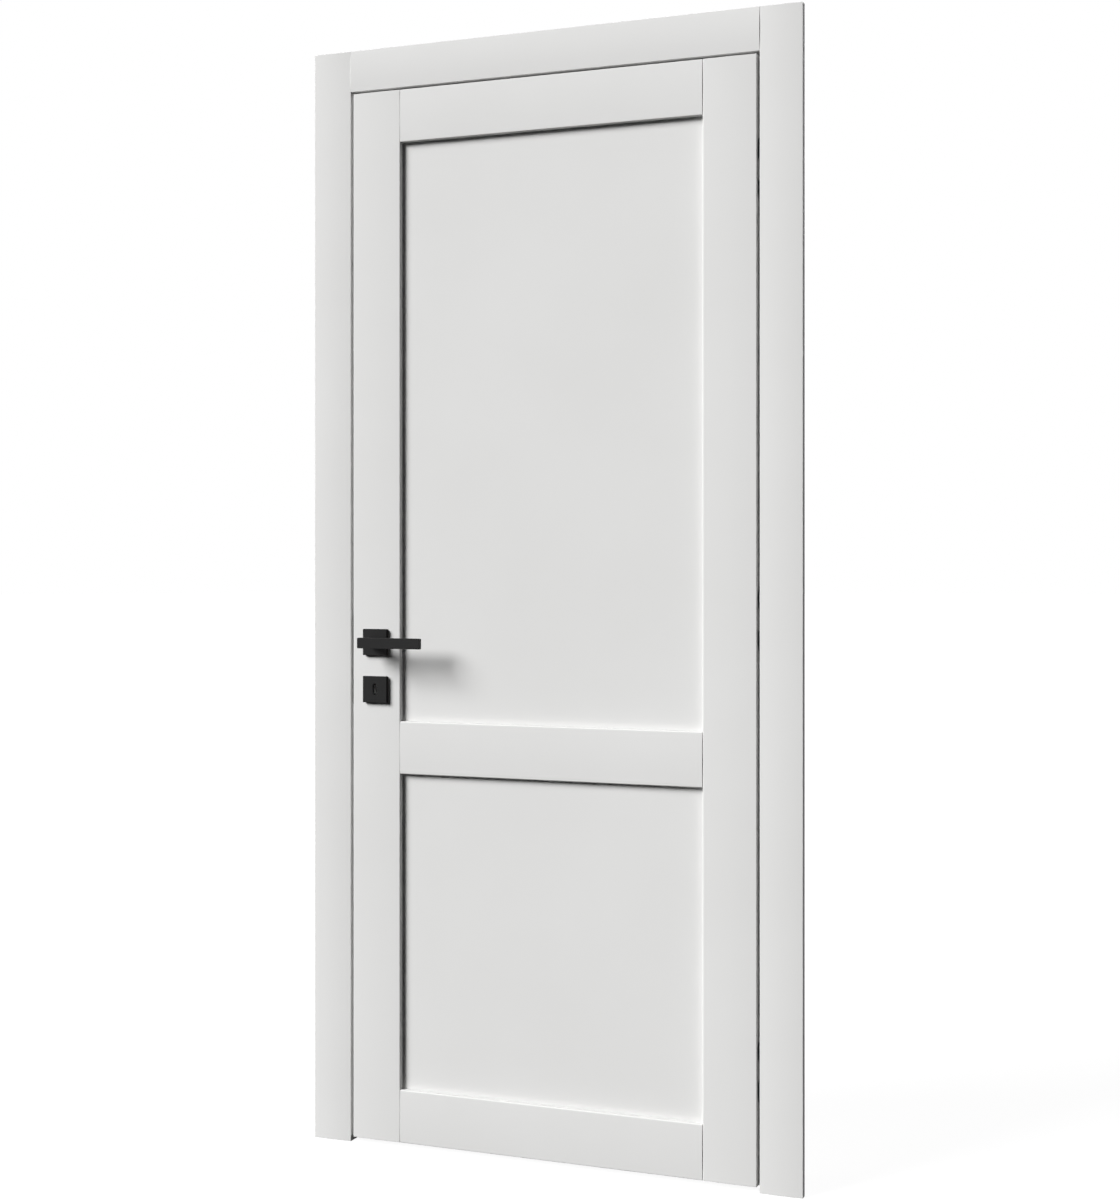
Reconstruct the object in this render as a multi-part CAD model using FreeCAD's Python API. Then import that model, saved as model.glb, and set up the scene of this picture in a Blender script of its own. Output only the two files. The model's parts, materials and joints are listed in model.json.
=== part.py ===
import FreeCAD, Part
import math
import os

# Interior door set: a two-panel leaf on concealed hinges, its rebated frame, front casing and lever set.
# Millimetres. X runs from the lock side to the hinge side, Y from the front to the back, Z up.
# The origin lies on the hinge jamb's outer face, at the wall's front face and the finished floor.

# Leaf
leaf_width = 800.0
leaf_height = 2000.0
leaf_thickness = 44.0
stile_width = 100.0
top_rail_width = 100.0
middle_rail_width = 100.0
bottom_rail_width = 100.0
middle_rail_height = 700.0
panel_thickness = 19.0
panel_groove_depth = 12.0
panel_end_play = 2.0
leaf_board_crown = 1.0
casing_crown = 1.4
board_edge_radius = 1.0

# Frame and casing
jamb_thickness = 40.0
jamb_depth = 100.0
stop_height = 15.0
stop_edge_radius = 2.0
casing_width = 78.0
casing_thickness = 14.0

# Gaps round the leaf
undercut = 10.0
hinge_gap = 5.0
top_gap = 5.0
moving_clearance = 5.0
seal_space = 5.0
leaf_proud = 1.0

# Rubber seal
seal_width = 8.0
seal_stem_width = 3.2
seal_stem_depth = 5.0
seal_groove_play = 0.2
seal_to_leaf = 0.5

# Fixing holes through the jambs
fixing_hole_radius = 2.75
fixing_head_radius = 5.5
fixing_head_depth = 5.0
fixing_spacing = 400.0
fixing_pair_heights = (600.0, 1400.0)

# Concealed hinges
axis_offset = 2.0
opening_angle = 95.0
hinge_end_distance = 200.0
hinge_housing_width = 26.0
hinge_housing_height = 110.0
hinge_housing_depth = 29.0
link_radius = 28.0
link_thickness = 7.0
link_height = 40.0
link_engagement = 10.0
link_clearance = 0.3
link_end_angle = 1.0
hinge_housing_wall = 3.0

# Lever set
backset = 50.0
lever_axis_height = 960.0
lock_centres = 90.0
rosette_size = 50.0
rosette_thickness = 8.0
rosette_edge_chamfer = 0.8
neck_width = 18.0
neck_corner_chamfer = 1.2
journal_radius = 9.0
journal_depth = 7.0
journal_clearance = 0.05
neck_gap = 0.5
lever_projection = 55.0
lever_heel = 13.0
lever_reach = 117.0
lever_height = 20.0
lever_thickness = 9.0
lever_corner_radius = 2.0
spindle_width = 8.0
spindle_grip = 22.0
keyhole_width = 8.0
keyhole_height = 22.0
keyhole_room = 2.0

# Mortice lock
lock_case_height = 165.0
lock_case_depth = 78.0
lock_case_thickness = 14.0
lock_case_above_spindle = 45.0
forend_width = 20.0
forend_height = 235.0
forend_thickness = 3.0
follower_radius = 9.0
latch_height = 30.0
latch_thickness = 11.0
latch_length = 40.0
latch_rise = 12.0
bolt_height = 34.0
bolt_thickness = 11.0
bolt_length = 45.0
bolt_drop = 8.0
bolt_play = 0.25

# Strike plate
strike_width = 24.0
strike_height = 180.0
strike_thickness = 2.0
strike_pocket_play = 1.5
strike_pocket_depth = 18.0

vec = FreeCAD.Vector
X_AXIS = vec(1, 0, 0)
Y_AXIS = vec(0, 1, 0)
Z_AXIS = vec(0, 0, 1)

# Places worked out from the sizes
hinge_face_x = -jamb_thickness
leaf_hinge_x = hinge_face_x - hinge_gap
leaf_lock_x = leaf_hinge_x - leaf_width
leaf_front_y = -casing_thickness - leaf_proud
leaf_back_y = leaf_front_y + leaf_thickness
leaf_middle_y = (leaf_front_y + leaf_back_y) / 2
leaf_bottom_z = undercut
leaf_top_z = undercut + leaf_height
axis_x = hinge_face_x - hinge_gap / 2
axis_y = leaf_front_y - axis_offset
swing_reach = leaf_width + hinge_gap / 2
swing_bulge = math.hypot(swing_reach, leaf_thickness + axis_offset) - swing_reach
lock_gap = moving_clearance + swing_bulge
lock_face_x = leaf_lock_x - lock_gap
frame_lock_x = lock_face_x - jamb_thickness
frame_middle_x = (hinge_face_x + lock_face_x) / 2
head_z = leaf_top_z + top_gap
stop_y = leaf_back_y + seal_space
stop_z = head_z - stop_height
fixing_y = stop_y / 2
seal_offset = stop_height - seal_width / 2
panel_front_y = leaf_middle_y - panel_thickness / 2
opening_left_x = leaf_lock_x + stile_width
opening_right_x = leaf_hinge_x - stile_width
bottom_rail_top_z = leaf_bottom_z + bottom_rail_width
middle_rail_bottom_z = middle_rail_height + undercut
middle_rail_top_z = middle_rail_bottom_z + middle_rail_width
top_rail_bottom_z = leaf_top_z - top_rail_width
spindle_x = leaf_lock_x + backset
keyhole_z = lever_axis_height - lock_centres
hinge_heights = (
    leaf_bottom_z + hinge_end_distance,
    (leaf_bottom_z + leaf_top_z) / 2,
    leaf_top_z - hinge_end_distance,
)
hinge_names = ("lower", "middle", "upper")
mouth_angle = math.degrees(math.asin(hinge_gap / 2 / link_radius))
link_half_angle = opening_angle / 2 + mouth_angle + link_engagement
link_outer_radius = link_radius + link_thickness / 2
link_inner_radius = link_radius - link_thickness / 2
hinge_middle_y = axis_y + link_outer_radius + hinge_housing_wall - hinge_housing_width / 2
lock_case_top_z = lever_axis_height + lock_case_above_spindle
lock_case_bottom_z = lock_case_top_z - lock_case_height
lock_case_front_x = leaf_lock_x + forend_thickness
forend_middle_z = (lock_case_top_z + lock_case_bottom_z) / 2
latch_z = lever_axis_height + latch_rise
bolt_z = keyhole_z + bolt_drop
strike_middle_z = (latch_z + bolt_z) / 2


def box(x0, x1, y0, y1, z0, z1):
    """Box between two opposite corners."""
    return Part.makeBox(x1 - x0, y1 - y0, z1 - z0, vec(x0, y0, z0))


def prism(points, direction):
    """Straight prism on a closed outline."""
    outline = Part.makePolygon([vec(*p) for p in points + points[:1]])
    return Part.Face(outline).extrude(direction)


def round_rod(x, y, z, radius, length, direction):
    """Cylinder that starts at a point and runs along a direction."""
    return Part.makeCylinder(radius, length, vec(x, y, z), direction)


def edges_where(solid, test):
    """Edges whose end points all pass a test."""
    return [edge for edge in solid.Edges if all(test(v.Point) for v in edge.Vertexes)]


def long_edges(solid, test):
    """Of the edges that pass a test, those as long as the longest."""
    passed = edges_where(solid, test)
    longest = max(edge.Length for edge in passed)
    return [edge for edge in passed if edge.Length > longest - 0.001]


def mirrored(solid):
    """The same piece on the frame's other side."""
    return solid.mirror(vec(frame_middle_x, 0, 0), X_AXIS)


def slot_prism(x, y, z, width, height, length, direction):
    """Upright slot with round ends, run along X or Y from its centre."""
    side = direction.cross(Z_AXIS)
    half = height / 2 - width / 2
    centre = vec(x, y, z)
    low_left = centre - side * (width / 2) - Z_AXIS * half
    low_right = centre + side * (width / 2) - Z_AXIS * half
    top_right = centre + side * (width / 2) + Z_AXIS * half
    top_left = centre - side * (width / 2) + Z_AXIS * half
    foot = centre - Z_AXIS * (height / 2)
    crest = centre + Z_AXIS * (height / 2)
    outline = Part.Wire([
        Part.Arc(low_left, foot, low_right).toShape(),
        Part.makeLine(low_right, top_right),
        Part.Arc(top_right, crest, top_left).toShape(),
        Part.makeLine(top_left, low_left),
    ])
    return Part.Face(outline).extrude(direction * length)


def crowned_board(width, length, thickness, crown, both_faces):
    """Upright board with its front to -Y: a slightly crowned face and rounded edges, on one face or both."""
    back_y = thickness - (crown if both_faces else 0.0)
    corners = [(0, crown), (width, crown), (width, back_y), (0, back_y)]
    front_left, front_right, back_right, back_left = [vec(x, y, 0) for x, y in corners]
    front = Part.Arc(front_left, vec(width / 2, 0, 0), front_right).toShape()
    if both_faces:
        back = Part.Arc(back_right, vec(width / 2, thickness, 0), back_left).toShape()
    else:
        back = Part.makeLine(back_right, back_left)
    sides = [Part.makeLine(front_right, back_right), Part.makeLine(back_left, front_left)]
    section = Part.Face(Part.Wire([front, sides[0], back, sides[1]]))
    board = section.extrude(Z_AXIS * length)
    rounded = long_edges(board, lambda p: abs(p.y - crown) < 0.001)
    if both_faces:
        rounded += long_edges(board, lambda p: abs(p.y - back_y) < 0.001)
    return board.makeFillet(board_edge_radius, rounded)


def upright(board, x, y, z):
    """Board placed by its lower left front corner."""
    board.translate(vec(x, y, z))
    return board


def laid_across(board, x, y, z):
    """Board turned to run along X, placed by its upper left front corner."""
    board.rotate(vec(0, 0, 0), Y_AXIS, 90)
    board.translate(vec(x, y, z))
    return board


def leaf_board(width, length):
    """Board as thick as the leaf, crowned on both faces."""
    return crowned_board(width, length, leaf_thickness, leaf_board_crown, True)


def casing_board(length):
    """Casing board, crowned on its front and flat behind."""
    return crowned_board(casing_width, length, casing_thickness, casing_crown, False)


def leaf_stile(x):
    """Full-height stile; the caller cuts its panel groove."""
    return upright(leaf_board(stile_width, leaf_height), x, leaf_front_y, leaf_bottom_z)


def panel_groove(x0, x1, z0, z1):
    """Room for the panels and tenons in the middle of the leaf's thickness."""
    return box(x0, x1, panel_front_y, panel_front_y + panel_thickness, z0, z1)


def make_hinge_stile():
    """Stile at the hinges, with a pocket for each leaf housing."""
    stile = leaf_stile(opening_right_x)
    groove = panel_groove(opening_right_x, opening_right_x + panel_groove_depth, leaf_bottom_z, leaf_top_z)
    return stile.cut([groove] + [leaf_hinge_block(z) for z in hinge_heights])


def make_lock_stile():
    """Stile at the lock, morticed for the case and bored for spindle and key."""
    stile = leaf_stile(leaf_lock_x)
    groove = panel_groove(opening_left_x - panel_groove_depth, opening_left_x, leaf_bottom_z, leaf_top_z)
    spindle_hole = round_rod(spindle_x, leaf_front_y, lever_axis_height, follower_radius, leaf_thickness, Y_AXIS)
    key_hole = slot_prism(spindle_x, leaf_front_y, keyhole_z, keyhole_width + 2 * keyhole_room,
                          keyhole_height + 2 * keyhole_room, leaf_thickness, Y_AXIS)
    return stile.cut([groove, lock_case_block(), forend_block(), spindle_hole, key_hole])


def make_rail(z_top, width, groove_above, groove_below):
    """Rail between the stiles, grooved for its panels, with stub tenons that fill the stiles' grooves."""
    length = opening_right_x - opening_left_x
    rail = laid_across(leaf_board(width, length), opening_left_x, leaf_front_y, z_top)
    z_bottom = z_top - width
    tenon_top = z_top - (panel_groove_depth if groove_above else 0.0)
    tenon_bottom = z_bottom + (panel_groove_depth if groove_below else 0.0)
    tenon = panel_groove(opening_left_x - panel_groove_depth, opening_right_x + panel_groove_depth,
                         tenon_bottom, tenon_top)
    grooves = []
    if groove_above:
        grooves.append(panel_groove(opening_left_x, opening_right_x, tenon_top, z_top))
    if groove_below:
        grooves.append(panel_groove(opening_left_x, opening_right_x, z_bottom, tenon_bottom))
    return rail.cut(grooves).fuse(tenon).removeSplitter()


def make_panel(z_bottom, z_top):
    """Flat panel whose edges stand in the grooves round its opening."""
    tongue = panel_groove_depth - panel_end_play
    return box(opening_left_x - tongue, opening_right_x + tongue, panel_front_y,
               panel_front_y + panel_thickness, z_bottom - tongue, z_top + tongue)


def jamb_profile_points():
    """Hinge jamb's section: rebate for the leaf, then the stop behind it."""
    return [
        (0, 0, 0),
        (hinge_face_x, 0, 0),
        (hinge_face_x, stop_y, 0),
        (hinge_face_x - stop_height, stop_y, 0),
        (hinge_face_x - stop_height, jamb_depth, 0),
        (0, jamb_depth, 0),
    ]


def seal_groove_width():
    return seal_stem_width + 2 * seal_groove_play


def seal_groove_depth():
    return seal_stem_depth + seal_groove_play


def plain_jamb():
    """Hinge-side jamb before its pockets and holes."""
    top_z = head_z + jamb_thickness
    jamb = prism(jamb_profile_points(), Z_AXIS * top_z)
    stop_x = hinge_face_x - stop_height
    jamb = jamb.makeFillet(stop_edge_radius, long_edges(jamb, lambda p: abs(p.x - stop_x) < 0.001))
    groove_x = hinge_face_x - seal_offset
    half = seal_groove_width() / 2
    return jamb.cut(box(groove_x - half, groove_x + half, stop_y, stop_y + seal_groove_depth(), 0, top_z))


def fixing_holes():
    """Counterbored holes through the hinge jamb, in pairs one above the other."""
    tools = []
    for middle in fixing_pair_heights:
        for z in (middle - fixing_spacing / 2, middle + fixing_spacing / 2):
            tools.append(round_rod(hinge_face_x, fixing_y, z, fixing_hole_radius, jamb_thickness, X_AXIS))
            tools.append(round_rod(hinge_face_x, fixing_y, z, fixing_head_radius, fixing_head_depth, X_AXIS))
    return tools


def make_hinge_jamb():
    blocks = [frame_hinge_block(z) for z in hinge_heights]
    return plain_jamb().cut(fixing_holes() + blocks)


def make_lock_jamb():
    holes = [mirrored(hole) for hole in fixing_holes()]
    return mirrored(plain_jamb()).cut(holes + [strike_block()] + strike_pockets())


def make_head_jamb():
    """Head between the jambs, its stop cut back to meet theirs."""
    points = [
        (lock_face_x, 0, head_z),
        (lock_face_x, 0, head_z + jamb_thickness),
        (lock_face_x, jamb_depth, head_z + jamb_thickness),
        (lock_face_x, jamb_depth, stop_z),
        (lock_face_x, stop_y, stop_z),
        (lock_face_x, stop_y, head_z),
    ]
    head = prism(points, X_AXIS * (hinge_face_x - lock_face_x))
    head = head.makeFillet(stop_edge_radius, long_edges(head, lambda p: abs(p.z - stop_z) < 0.001))
    groove_z = head_z - seal_offset
    half = seal_groove_width() / 2
    groove = box(lock_face_x, hinge_face_x, stop_y, stop_y + seal_groove_depth(), groove_z - half, groove_z + half)
    hinge_side = box(hinge_face_x - stop_height, hinge_face_x, stop_y, jamb_depth, stop_z,
                     head_z + jamb_thickness)
    return head.cut([groove, hinge_side, mirrored(hinge_side)])


def seal_section():
    """Seal section about its own middle, in X and Y: a stem behind a half-round lip."""
    lip = seal_space - seal_to_leaf
    half = seal_width / 2
    stem = seal_stem_width / 2
    shoulder = lip / 3
    points = [vec(half, 0, 0), vec(stem, 0, 0), vec(stem, seal_stem_depth, 0), vec(-stem, seal_stem_depth, 0),
              vec(-stem, 0, 0), vec(-half, 0, 0), vec(-half, -shoulder, 0)]
    lines = [Part.makeLine(a, b) for a, b in zip(points, points[1:])]
    crest = Part.Arc(points[-1], vec(0, -lip, 0), vec(half, -shoulder, 0)).toShape()
    closing = Part.makeLine(vec(half, -shoulder, 0), points[0])
    return Part.Face(Part.Wire(lines + [crest, closing]))


def make_side_seal():
    """Seal up the hinge jamb, to the top of the head's seal."""
    seal = seal_section().extrude(Z_AXIS * (stop_z + seal_width))
    seal.translate(vec(hinge_face_x - seal_offset, stop_y, 0))
    return seal


def make_head_seal():
    """Seal across the head, between the two side seals."""
    length = hinge_face_x - lock_face_x - 2 * stop_height
    seal = seal_section().extrude(Z_AXIS * length)
    seal.rotate(vec(0, 0, 0), Y_AXIS, 90)
    seal.translate(vec(lock_face_x + stop_height, stop_y, head_z - seal_offset))
    return seal


def make_casing_leg(x, recesses):
    """Full-height casing board, let out behind its face for what the jamb's edge carries."""
    return upright(casing_board(head_z + casing_width), x, -casing_thickness, 0).cut(recesses)


def make_casing_head():
    board = casing_board(hinge_face_x - lock_face_x)
    return laid_across(board, lock_face_x, -casing_thickness, head_z + casing_width)


def frame_hinge_block(z):
    """Outer form of a frame housing, let into the hinge jamb."""
    return slot_prism(hinge_face_x, hinge_middle_y, z, hinge_housing_width, hinge_housing_height,
                      hinge_housing_depth, X_AXIS)


def leaf_hinge_block(z):
    """Outer form of a leaf housing, let into the stile's edge."""
    return slot_prism(leaf_hinge_x, hinge_middle_y, z, hinge_housing_width, hinge_housing_height,
                      hinge_housing_depth, -X_AXIS)


def ring_sector(inner, outer, z0, z1, half_angle):
    """Part of a ring round the hinge axis, equal to both sides of the gap."""
    height = z1 - z0
    turned = Part.makeCylinder(outer, height, vec(axis_x, axis_y, z0), Z_AXIS, 2 * half_angle)
    bore = Part.makeCylinder(inner, height, vec(axis_x, axis_y, z0), Z_AXIS)
    sector = turned.cut(bore)
    sector.rotate(vec(axis_x, axis_y, z0), Z_AXIS, 90 - half_angle)
    return sector


def hinge_link(z):
    """Curved link that carries the leaf housing round the axis."""
    return ring_sector(link_inner_radius, link_outer_radius, z - link_height / 2, z + link_height / 2,
                       link_half_angle)


def link_room(z):
    """Curved room for the link, a little larger all round."""
    return ring_sector(link_inner_radius - link_clearance, link_outer_radius + link_clearance,
                       z - link_height / 2 - link_clearance, z + link_height / 2 + link_clearance,
                       link_half_angle + link_end_angle)


def lock_case_block():
    """Outer form of the lock case."""
    return box(lock_case_front_x, lock_case_front_x + lock_case_depth, leaf_middle_y - lock_case_thickness / 2,
               leaf_middle_y + lock_case_thickness / 2, lock_case_bottom_z, lock_case_top_z)


def forend_block():
    """Outer form of the lock's forend, flush in the stile's edge."""
    return slot_prism(leaf_lock_x, leaf_middle_y, forend_middle_z, forend_width, forend_height,
                      forend_thickness, X_AXIS)


def latch_block(length, play, x):
    return box(x, x + length, leaf_middle_y - latch_thickness / 2 - play, leaf_middle_y + latch_thickness / 2 + play,
               latch_z - latch_height / 2 - play, latch_z + latch_height / 2 + play)


def bolt_block(length, play, x):
    return box(x, x + length, leaf_middle_y - bolt_thickness / 2 - play, leaf_middle_y + bolt_thickness / 2 + play,
               bolt_z - bolt_height / 2 - play, bolt_z + bolt_height / 2 + play)


def through_keyhole():
    """Room for the key, right through the leaf and its lock."""
    return slot_prism(spindle_x, leaf_front_y - rosette_thickness, keyhole_z, keyhole_width, keyhole_height,
                      leaf_thickness + 2 * rosette_thickness, Y_AXIS)


def make_lock_case():
    bore = round_rod(spindle_x, leaf_front_y, lever_axis_height, follower_radius, leaf_thickness, Y_AXIS)
    latch_room = latch_block(latch_length + bolt_play, bolt_play, leaf_lock_x)
    bolt_room = bolt_block(bolt_length + bolt_play, bolt_play, leaf_lock_x)
    return lock_case_block().cut([bore, latch_room, bolt_room, through_keyhole()])


def make_forend():
    latch_mouth = latch_block(forend_thickness, bolt_play, leaf_lock_x)
    bolt_mouth = bolt_block(forend_thickness, bolt_play, leaf_lock_x)
    return forend_block().cut([latch_mouth, bolt_mouth])


def make_follower():
    """Round hub in the case, turned by the spindle."""
    hub = round_rod(spindle_x, leaf_middle_y - lock_case_thickness / 2, lever_axis_height,
                    follower_radius - journal_clearance, lock_case_thickness, Y_AXIS)
    return hub.cut(make_spindle())


def make_spindle():
    half = spindle_width / 2
    reach = rosette_thickness - journal_depth + spindle_grip
    return box(spindle_x - half, spindle_x + half, leaf_front_y - reach, leaf_back_y + reach,
               lever_axis_height - half, lever_axis_height + half)


def strike_block():
    """Outer form of the strike plate, flush in the lock jamb's face."""
    return slot_prism(lock_face_x, leaf_middle_y, strike_middle_z, strike_width, strike_height,
                      strike_thickness, -X_AXIS)


def strike_pockets():
    """Rooms for the latch and the bolt behind the strike plate's holes."""
    x = lock_face_x - strike_pocket_depth
    latch_room = latch_block(strike_pocket_depth, strike_pocket_play, x)
    bolt_room = bolt_block(strike_pocket_depth, strike_pocket_play, x)
    return [latch_room, bolt_room]


def make_rosette(z, opening):
    """Square plate on the leaf's front with its front edges eased."""
    half = rosette_size / 2
    front = leaf_front_y - rosette_thickness
    plate = box(spindle_x - half, spindle_x + half, front, leaf_front_y, z - half, z + half)
    plate = plate.makeChamfer(rosette_edge_chamfer, edges_where(plate, lambda p: abs(p.y - front) < 0.001))
    return plate.cut(opening)


def make_lever():
    """Front lever: a flat bar on a square neck, with a round journal in the rosette."""
    bar_front = leaf_front_y - lever_projection
    bar_back = bar_front + lever_thickness
    bar = box(spindle_x - lever_heel, spindle_x + lever_reach, bar_front, bar_back,
              lever_axis_height - lever_height / 2, lever_axis_height + lever_height / 2)
    corners = [edge for edge in bar.Edges if abs(edge.Length - lever_thickness) < 0.001]
    bar = bar.makeFillet(lever_corner_radius, corners)
    rosette_front = leaf_front_y - rosette_thickness
    half = neck_width / 2
    neck = box(spindle_x - half, spindle_x + half, bar_back - lever_thickness / 2, rosette_front - neck_gap,
               lever_axis_height - half, lever_axis_height + half)
    neck_corners = [e for e in neck.Edges if abs(e.Vertexes[0].Point.y - e.Vertexes[1].Point.y) > 1]
    neck = neck.makeChamfer(neck_corner_chamfer, neck_corners)
    journal = round_rod(spindle_x, rosette_front - neck_gap, lever_axis_height,
                        journal_radius - journal_clearance, journal_depth + neck_gap, Y_AXIS)
    return bar.fuse([neck, journal]).removeSplitter().cut(make_spindle())


def on_back(solid):
    """The same piece on the leaf's back."""
    return solid.mirror(vec(0, leaf_middle_y, 0), Y_AXIS)


def make_parts():
    """Every piece by its name."""
    lever_opening = round_rod(spindle_x, leaf_front_y - rosette_thickness, lever_axis_height, journal_radius,
                              rosette_thickness, Y_AXIS)
    lever_rosette = make_rosette(lever_axis_height, lever_opening)
    key_rosette = make_rosette(keyhole_z, through_keyhole())
    lever = make_lever()
    side_seal = make_side_seal()
    parts = {
        "jamb_hinge_side": make_hinge_jamb(),
        "jamb_lock_side": make_lock_jamb(),
        "jamb_head": make_head_jamb(),
        "casing_hinge_side": make_casing_leg(hinge_face_x, [frame_hinge_block(z) for z in hinge_heights]),
        "casing_lock_side": make_casing_leg(lock_face_x - casing_width, [strike_block()]),
        "casing_head": make_casing_head(),
        "seal_hinge_side": side_seal,
        "seal_lock_side": mirrored(side_seal),
        "seal_head": make_head_seal(),
        "strike_plate": strike_block().cut(strike_pockets()),
        "stile_hinge_side": make_hinge_stile(),
        "stile_lock_side": make_lock_stile(),
        "rail_top": make_rail(leaf_top_z, top_rail_width, False, True),
        "rail_middle": make_rail(middle_rail_top_z, middle_rail_width, True, True),
        "rail_bottom": make_rail(bottom_rail_top_z, bottom_rail_width, True, False),
        "panel_upper": make_panel(middle_rail_top_z, top_rail_bottom_z),
        "panel_lower": make_panel(bottom_rail_top_z, middle_rail_bottom_z),
        "lock_case": make_lock_case(),
        "lock_forend": make_forend(),
        "latch_bolt": latch_block(latch_length, 0.0, leaf_lock_x),
        "dead_bolt": bolt_block(bolt_length, 0.0, leaf_lock_x),
        "lever_rosette_front": lever_rosette,
        "lever_rosette_back": on_back(lever_rosette),
        "key_rosette_front": key_rosette,
        "key_rosette_back": on_back(key_rosette),
        "lever_front": lever,
        "lever_back": on_back(lever),
        "spindle": make_spindle(),
        "lock_follower": make_follower(),
    }
    for name, z in zip(hinge_names, hinge_heights):
        parts["hinge_" + name + "_frame_housing"] = frame_hinge_block(z).cut(link_room(z))
        parts["hinge_" + name + "_leaf_housing"] = leaf_hinge_block(z).cut(link_room(z))
        parts["hinge_" + name + "_link"] = hinge_link(z)
    return parts


def write_parts():
    os.makedirs("parts", exist_ok=True)
    for name, shape in make_parts().items():
        solids = shape.Solids
        whole = solids[0] if len(solids) == 1 else Part.makeCompound(solids)
        whole.exportStep("parts/" + name + ".step")
        print(name, len(solids), round(whole.Volume), whole.isValid())


write_parts()
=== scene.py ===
import json
import math
from collections import namedtuple

import bmesh
import bpy
from mathutils import Matrix, Vector


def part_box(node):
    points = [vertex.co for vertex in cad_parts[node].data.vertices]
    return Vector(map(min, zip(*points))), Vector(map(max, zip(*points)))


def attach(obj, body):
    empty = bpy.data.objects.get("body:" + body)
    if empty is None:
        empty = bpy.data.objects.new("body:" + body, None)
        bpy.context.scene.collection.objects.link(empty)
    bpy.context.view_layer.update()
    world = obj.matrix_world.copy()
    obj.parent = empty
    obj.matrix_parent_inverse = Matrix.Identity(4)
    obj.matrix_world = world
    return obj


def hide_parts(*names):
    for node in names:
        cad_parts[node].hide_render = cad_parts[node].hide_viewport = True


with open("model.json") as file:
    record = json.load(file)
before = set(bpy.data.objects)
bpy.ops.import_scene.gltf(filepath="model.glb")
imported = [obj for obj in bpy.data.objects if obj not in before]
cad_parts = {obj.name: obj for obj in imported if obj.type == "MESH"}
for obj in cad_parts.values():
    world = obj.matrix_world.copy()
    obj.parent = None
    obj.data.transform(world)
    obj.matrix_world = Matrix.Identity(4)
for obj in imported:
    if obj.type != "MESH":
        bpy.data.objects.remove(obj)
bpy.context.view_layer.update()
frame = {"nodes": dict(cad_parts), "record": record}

# Dresses the door. Boards, frame, seals, hinges, forend, bolts, strike plate and lever set are made again
# with finer forms and stand for their CAD nodes, and screws are added. Panels, lock case, spindle and
# follower stay. X runs from the lock side to the hinge side, Y from front to back, Z up. Sizes are in
# millimetres, and the floor's radius and the camera's place and sight in metres.

MM = 0.001


def node_box(node):
    """Lowest and highest corner of a CAD node, in millimetres."""
    low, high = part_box(node)
    return low / MM, high / MM


# Places read from the solids

LOCK_STILE_LOW, LOCK_STILE_HIGH = node_box("stile_lock_side")
PANEL_LOW, PANEL_HIGH = node_box("panel_upper")
HEAD_LOW, HEAD_HIGH = node_box("jamb_head")
JAMB_DEPTH = node_box("jamb_hinge_side")[1].y
HOUSING_LOW, HOUSING_HIGH = node_box("hinge_lower_frame_housing")
ROSETTE_LOW, ROSETTE_HIGH = node_box("lever_rosette_front")
KEY_LOW, KEY_HIGH = node_box("key_rosette_front")
LEVER_LOW, LEVER_HIGH = node_box("lever_front")
CASE_LOW, CASE_HIGH = node_box("lock_case")
FOREND_LOW, FOREND_HIGH = node_box("lock_forend")
LATCH_LOW, LATCH_HIGH = node_box("latch_bolt")
BOLT_LOW, BOLT_HIGH = node_box("dead_bolt")
STRIKE_LOW, STRIKE_HIGH = node_box("strike_plate")
SEAL_FRONT = node_box("seal_hinge_side")[0].y

LEAF_FRONT = ROSETTE_HIGH.y
LEAF_BACK = node_box("lever_rosette_back")[0].y
LEAF_MIDDLE = (LEAF_FRONT + LEAF_BACK) / 2
LEAF_THICKNESS = LEAF_BACK - LEAF_FRONT
LEAF_BOTTOM = LOCK_STILE_LOW.z
LEAF_TOP = LOCK_STILE_HIGH.z
LEAF_LEFT = LOCK_STILE_LOW.x
LEAF_RIGHT = node_box("stile_hinge_side")[1].x
STILE_WIDTH = LOCK_STILE_HIGH.x - LOCK_STILE_LOW.x
STILES_LEFT = LEAF_LEFT + STILE_WIDTH
STILES_RIGHT = LEAF_RIGHT - STILE_WIDTH

# Leaf

LEAF_CROWN = 1.0
PANEL_SIDE_EDGE = 2.2
GAP_SIDE_EDGE = 1.3
RAIL_END_RADIUS = 0.7
STILE_END_RADIUS = 0.8
PANEL_SHADOW_GAP = 1.5
PANEL_GROOVE_DEPTH = 12.0
GROOVE_END_DISTANCE = 60.0

# Frame and casing

JAMB_THICKNESS = 40.0
JAMB_ARRIS = 0.8
JAMB_HIDDEN_ARRIS = 0.5
JAMB_BACK_ARRIS = 1.0
JAMB_FOOT_RADIUS = 0.5
JAMB_TOP_RADIUS = 0.8
HEAD_END_RADIUS = 0.3
TOP_GAP = 5.0
SEAL_SPACE = 5.0
HINGE_FACE = -JAMB_THICKNESS
FRAME_MIDDLE = (HEAD_LOW.x + HEAD_HIGH.x) / 2
LOCK_FACE = 2 * FRAME_MIDDLE - HINGE_FACE
HEAD_FACE = LEAF_TOP + TOP_GAP
JAMB_TOP = HEAD_FACE + JAMB_THICKNESS
STOP_HEIGHT = 15.0
STOP_RADIUS = 2.0
STOP_FRONT = LEAF_BACK + SEAL_SPACE
STOP_UNDER = HEAD_LOW.z
CASING_WIDTH = 78.0
CASING_THICKNESS = 14.0
CASING_CROWN = 1.4
CASING_EDGE = 0.45
CASING_FOOT_RADIUS = 0.5
CASING_TOP_RADIUS = 1.0
CASING_TOP = HEAD_FACE + CASING_WIDTH
FIXING_HEIGHTS = (400.0, 800.0, 1200.0, 1600.0)
FIXING_HOLE_RADIUS = 2.75
FIXING_HEAD_RADIUS = 5.5
FIXING_HEAD_DEPTH = 5.0

# Seals

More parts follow.
